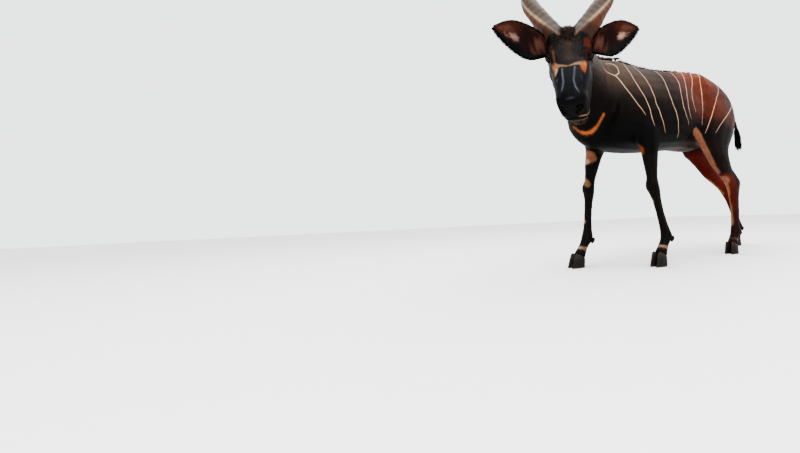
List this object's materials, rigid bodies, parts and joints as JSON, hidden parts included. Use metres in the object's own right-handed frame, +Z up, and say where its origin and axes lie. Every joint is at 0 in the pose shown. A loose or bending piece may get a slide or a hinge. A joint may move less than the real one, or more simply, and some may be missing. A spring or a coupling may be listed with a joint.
{
  "type": "bongo antelope",
  "caption": "Life-size still model of a standing bongo antelope bull with its head lowered and turned to its left.",
  "frame": {"origin": "on the floor, under the middle of the animal's whole box", "axes": "+Z up, the animal faces -Y and its left side is +X"},
  "size_m": [0.8506, 2.2172, 1.465],
  "materials": {
    "chestnut": "satin",
    "darkCoat": "satin",
    "horn": "satin",
    "hoof": "satin",
    "eye": "gloss"
  },
  "bodies": {
    "root": {"eye_right": "eye", "eye_left": "eye", "head": "darkCoat", "horn_right": "horn", "ear_right": "darkCoat", "horn_left": "horn", "ear_left": "darkCoat", "neck": "darkCoat", "fore_right_upper": "chestnut", "fore_right_lower": "darkCoat", "hoof_fore_right_outer": "hoof", "dewclaw_fore_right_outer": "hoof", "hoof_fore_right_inner": "hoof", "dewclaw_fore_right_inner": "hoof", "fore_left_upper": "chestnut", "fore_left_lower": "darkCoat", "hoof_fore_left_inner": "hoof", "dewclaw_fore_left_inner": "hoof", "hoof_fore_left_outer": "hoof", "dewclaw_fore_left_outer": "hoof", "hind_right_upper": "chestnut", "hind_right_lower": "darkCoat", "hoof_hind_right_outer": "hoof", "dewclaw_hind_right_outer": "hoof", "hoof_hind_right_inner": "hoof", "dewclaw_hind_right_inner": "hoof", "hind_left_upper": "chestnut", "hind_left_lower": "darkCoat", "hoof_hind_left_inner": "hoof", "dewclaw_hind_left_inner": "hoof", "hoof_hind_left_outer": "hoof", "dewclaw_hind_left_outer": "hoof", "torso": "chestnut", "tail": "darkCoat"}
  },
  "joints": []
}
